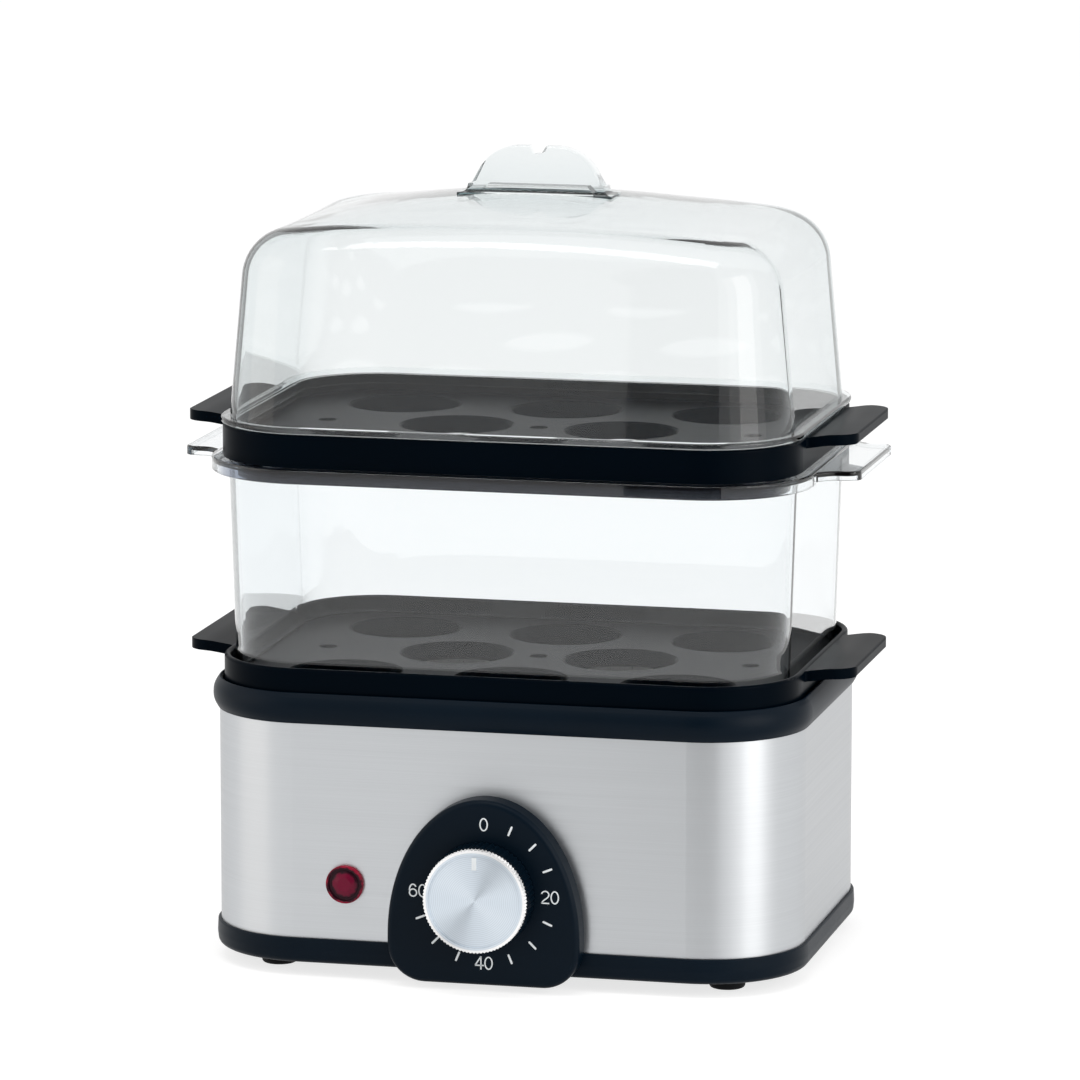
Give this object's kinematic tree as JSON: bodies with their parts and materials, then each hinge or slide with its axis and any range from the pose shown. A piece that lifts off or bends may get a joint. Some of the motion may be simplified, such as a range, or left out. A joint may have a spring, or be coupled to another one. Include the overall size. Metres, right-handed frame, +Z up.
{
  "type": "electric egg boiler",
  "caption": "Rectangular two-tier electric egg boiler: steel base with timer knob and lamp, egg trays with side handles, clear steam ring and clear domed lid.",
  "frame": {"origin": "on the table, under the middle of the object's bounding box", "axes": "+Z up, +X to the right seen from the front, the control panel faces -Y"},
  "size_m": [0.2196, 0.1604, 0.2581],
  "materials": {
    "brushed_steel": "brushed along the body",
    "black_plastic": "satin",
    "clear_plastic": "clear and polished",
    "black_rubber": "matt",
    "zinc_steel": "zinc plated",
    "dish_steel": "pressed, satin",
    "grey_silicone": "matt",
    "cast_aluminium": "cast",
    "element_steel": "oxidised",
    "phenolic_black": "moulded",
    "sleeve_white": "matt",
    "timer_nylon": "moulded",
    "bell_chrome": "plated",
    "knob_black": "fluted",
    "knob_aluminium": "spun face, knurled rim",
    "print_white": "painted",
    "lens_red": "translucent"
  },
  "bodies": {
    "base": {"bottom_pan": "black_plastic", "steel_shell": "brushed_steel", "top_collar": "black_plastic", "rubber_feet": "black_rubber", "base_screws": "zinc_steel", "control_panel": "black_plastic", "heating_plate": "dish_steel", "plate_seal": "grey_silicone", "element_disc": "cast_aluminium", "heating_element": "element_steel", "clamp_strap": "zinc_steel", "strap_screws": "zinc_steel", "thermostat": "phenolic_black", "thermal_fuse": "sleeve_white", "timer_case": "timer_nylon", "timer_bell": "bell_chrome", "timer_screws": "zinc_steel", "lamp_lens": "lens_red", "lamp_body": "timer_nylon", "lamp_clip": "zinc_steel", "cord_gland": "black_rubber", "terminal_block": "sleeve_white"},
    "timer_knob": {"timer_shaft": "zinc_steel", "knob_body": "knob_black", "knob_cap": "knob_aluminium", "knob_pointer": "print_white"},
    "lower_tray": {"lower_tray": "black_plastic"},
    "steam_ring": {"steam_ring": "clear_plastic"},
    "upper_tray": {"upper_tray": "black_plastic"},
    "lid": {"lid": "clear_plastic"}
  },
  "joints": [
    {"name": "timer_turn", "type": "hinge", "parent": "base", "child": "timer_knob", "pos_m": [0, -0.0701, 0.0314], "axis": [0, 1, 0], "range_deg": [0, 270]},
    {"name": "lower_tray_lift", "type": "slide", "parent": "base", "child": "lower_tray", "axis": [0, 0, 1], "range_m": [0, 0.06]},
    {"name": "steam_ring_lift", "type": "slide", "parent": "lower_tray", "child": "steam_ring", "axis": [0, 0, 1], "range_m": [0, 0.08]},
    {"name": "upper_tray_lift", "type": "slide", "parent": "steam_ring", "child": "upper_tray", "axis": [0, 0, 1], "range_m": [0, 0.05]},
    {"name": "lid_lift", "type": "slide", "parent": "upper_tray", "child": "lid", "axis": [0, 0, 1], "range_m": [0, 0.1]}
  ]
}
